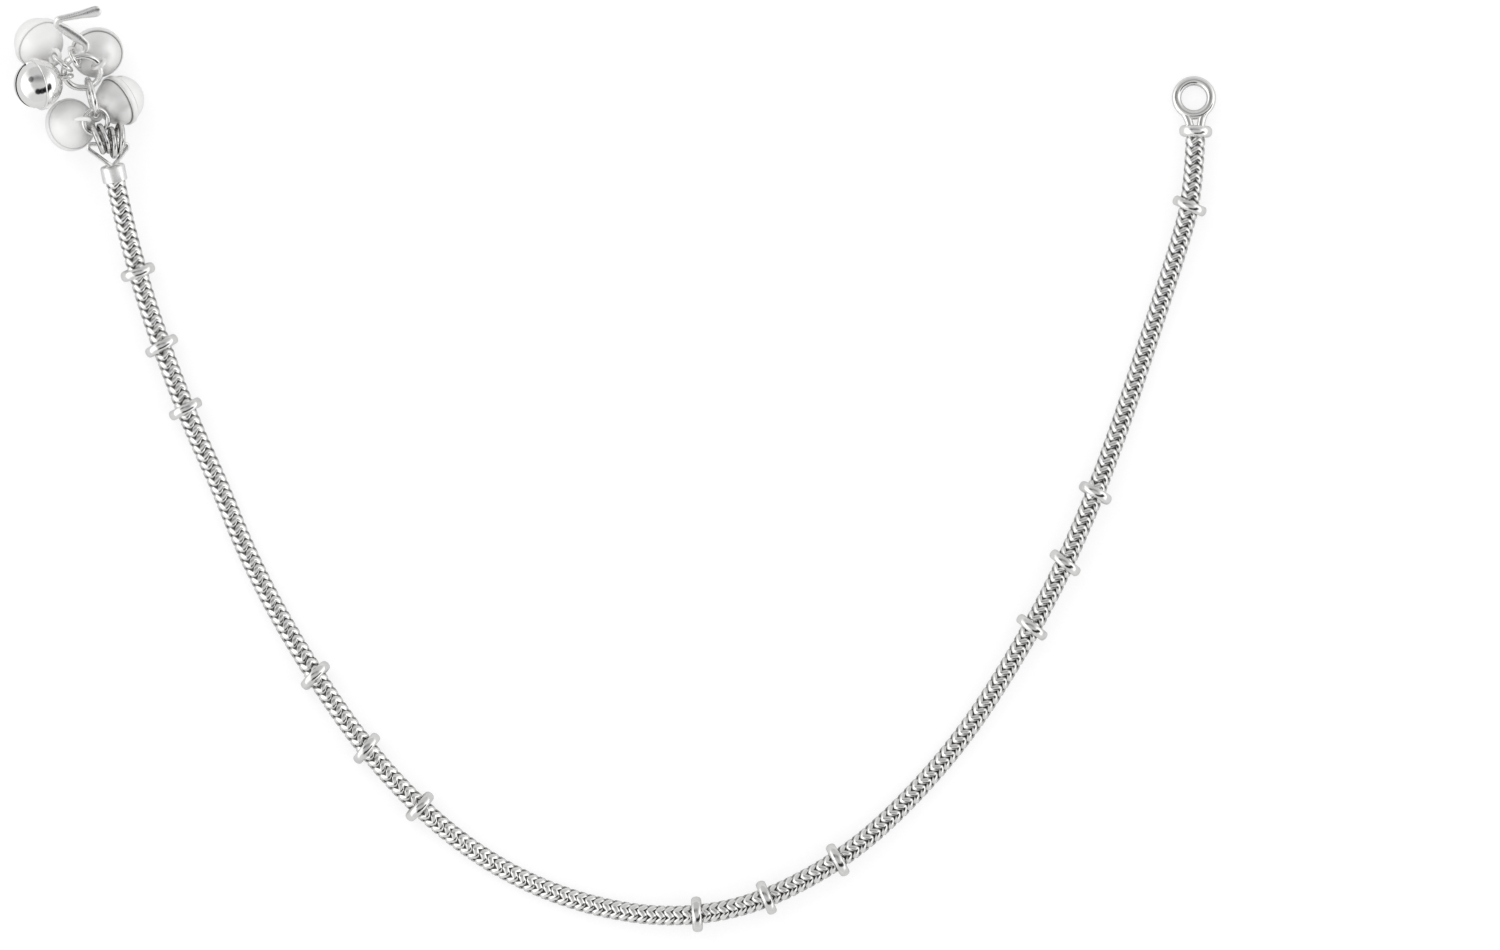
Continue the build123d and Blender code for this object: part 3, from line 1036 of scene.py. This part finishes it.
line_points = hook_line()
distance = np.concatenate(([0], np.cumsum(np.linalg.norm(np.diff(line_points, axis=0), axis=1))))
size_at = np.array(HOOK_SIZES)
fine = np.linspace(0, distance[-1], SIZE_STEPS)
kernel = np.hanning(SMOOTHED_STEPS) / np.hanning(SMOOTHED_STEPS).sum()


def smooth_size(column):
    """One column of the sizes, smoothed, at each point of the hook's line."""
    sizes = np.interp(fine, size_at[:, 0], size_at[:, column])
    sizes = np.convolve(np.pad(sizes, SMOOTHED_STEPS // 2, "edge"), kernel, "valid")
    return np.interp(distance, fine, sizes)


hook_mesh = drawn_wire(
    *round_ended(line_points, smooth_size(1), smooth_size(2), PADDLE_ROUNDING, HOOK_END_ROUNDING),
    around=24,
)
hook_mesh.transform(hook_plane)
finish_piece("s_hook_wire", hook_mesh, "fitting_silver", ["s_hook"], sharp_from=60,
             finish=satin_silver)

# ---- Ghungroo bells --------------------------------------------------------------------------

BELL_RADIUS = 2.95
BELL_WALL = 0.35
RIDGE_RADIUS = 3.18
RIDGE_THICKNESS = 0.75
RIDGE_EDGE = 0.12
SLOT_WIDTH = 0.38
SLOT_HOLE_RADIUS = 0.42
SLOT_HOLE_DROP = 1.15
BELL_EYE_RADIUS = 0.80
BELL_EYE_WIRE_RADIUS = 0.27
BELL_EYE_REACH = 3.62

# (name, centre x, y, z, heading and rise of the direction to the eye, turn of the eye on that
# direction, turn of the slot past the eye, how much of the half with the eye and of the half
# with the slot is white, a pickled skin and painted light where a half should look lit, and
# painted shade in the corners of the seam ridge)
BELLS = [
    ("bell_1", -68.52, 51.06, 3.04, -42, 42, 26, 0, 1.0, 1.0, 0.4),
    ("bell_2", -68.47, 46.01, 7.31, 15, -24, -81, 90, 0.0, 0.0, 0.12),
    ("bell_3", -61.54, 49.84, 3.04, -79, 65.7, 20, 0, 0.3, 0.3, 0.65),
    ("bell_4", -58.82, 44.11, 3.02, -150, 27, -22, 0, 0.3, 1.0, 0.9),
    ("bell_5", -64.74, 41.17, 3.02, 19, 63, 67, 0, 1.0, 1.0, 0.3),
]
POLISHED_BELL = "bell_2"    # the others are left satin
SEAM_REACH = 0.02           # how near to a corner of the seam ridge its painted shade reaches
# The solder that fills a bell's top below its eye, as (radius, height)
SOLDER = [(0.0, 2.7), (0.52, 2.82), (0.5, 2.96), (0.34, 3.02), (0.16, 3.07), (0.0, 3.08)]


def cut_from(mesh, cutter):
    """The mesh with another solid cut out of it."""
    blank, tool = link_in("blank", mesh), link_in("tool", cutter)
    cut = blank.modifiers.new("cut", "BOOLEAN")
    cut.operation, cut.object, cut.solver = "DIFFERENCE", tool, "EXACT"
    made = blank.evaluated_get(bpy.context.evaluated_depsgraph_get())
    result = bpy.data.meshes.new_from_object(made)
    bpy.data.objects.remove(blank)
    bpy.data.objects.remove(tool)
    return result


def bell_outline(steps=20, edge_steps=4, seam_half=RIDGE_THICKNESS / 2):
    """A solid bell's outline as it is turned, from its bottom round its ridge to its top."""
    meet = asin(seam_half / BELL_RADIUS)
    lower = [-pi / 2 + (pi / 2 - meet) * k / steps for k in range(steps + 1)]
    outline = [(BELL_RADIUS * cos(a), BELL_RADIUS * sin(a)) for a in lower]
    for corner, start in ((-seam_half + RIDGE_EDGE, -90), (seam_half - RIDGE_EDGE, 0)):
        for k in range(edge_steps + 1):
            angle = radians(start + 90 * k / edge_steps)
            outline.append((RIDGE_RADIUS - RIDGE_EDGE + RIDGE_EDGE * cos(angle),
                            corner + RIDGE_EDGE * sin(angle)))
    outline += [(BELL_RADIUS * cos(a), -BELL_RADIUS * sin(a)) for a in reversed(lower)]
    return outline


def ball(radius, steps=40):
    """A ball's outline as it is turned, from its bottom to its top."""
    angles = [-pi / 2 + pi * k / steps for k in range(steps + 1)]
    return [(max(radius * cos(a), 0.0), radius * sin(a)) for a in angles]


def keyhole(half_length, turn, steps=22):
    """The solid that cuts a bell's slot and the round hole at each of its ends."""
    narrow, drop, deep = SLOT_WIDTH / 2, -SLOT_HOLE_DROP, -2 * BELL_RADIUS
    meet = asin(narrow / SLOT_HOLE_RADIUS)
    angles = np.linspace(-pi / 2 + meet, 3 * pi / 2 - meet, steps)
    outline = [(SLOT_HOLE_RADIUS * cos(a), drop + SLOT_HOLE_RADIUS * sin(a)) for a in angles]
    outline += [(-narrow, deep), (narrow, deep)]
    count = len(outline)
    points = [(x, y, z) for x in (-half_length, half_length) for y, z in outline]
    faces = [(k, (k + 1) % count, count + (k + 1) % count, count + k) for k in range(count)]
    faces += [tuple(range(count)), tuple(range(count, 2 * count))]
    cutter = merged(mesh_of(points, faces))
    cutter.transform(Matrix.Rotation(radians(turn), 4, "Z"))
    return cutter


shell = cut_from(turned(bell_outline(), 72), turned(ball(BELL_RADIUS - BELL_WALL), 56))
eye_upright = Matrix.Translation((0, 0, BELL_EYE_REACH * MM)) @ Matrix.Rotation(pi / 2, 4, "X")
eye_wire = drawn_wire(round_path(BELL_EYE_RADIUS, 40), BELL_EYE_WIRE_RADIUS, BELL_EYE_WIRE_RADIUS,
                      closed=True)
solder = turned(SOLDER, 24)

for name, x, y, z, heading, rise, turn, slot_turn, white_top, white_bottom, dirt in BELLS:
    top = direction(heading, rise)
    across = Matrix.Rotation(radians(turn), 3, top) @ Vector((0, 0, 1)).cross(top)
    slotted = cut_from(shell, keyhole(2 * BELL_RADIUS, slot_turn))
    one_bell = joined([(slotted, Matrix()), (eye_wire, eye_upright), (solder, Matrix())])
    spots = [v.co / MM for v in one_bell.vertices]
    # painted light: each half is made matte white as far as it should look lit, partly a pickled
    # skin
    with_numbers(one_bell, "pickled", [white_top if s.z > 0 else white_bottom for s in spots])
    # painted shade in the corners of the seam ridge
    with_numbers(one_bell, "recess", [
        dirt * (abs(abs(s.z) - RIDGE_THICKNESS / 2) < SEAM_REACH and s.xy.length < BELL_RADIUS)
        for s in spots
    ])
    one_bell.transform(placed((x, y, z), across, top))
    finish = polished_bell_silver if name == POLISHED_BELL else bell_silver
    finish_piece(f"{name}_ball", one_bell, "bell_silver", [name], sharp_from=32, finish=finish)
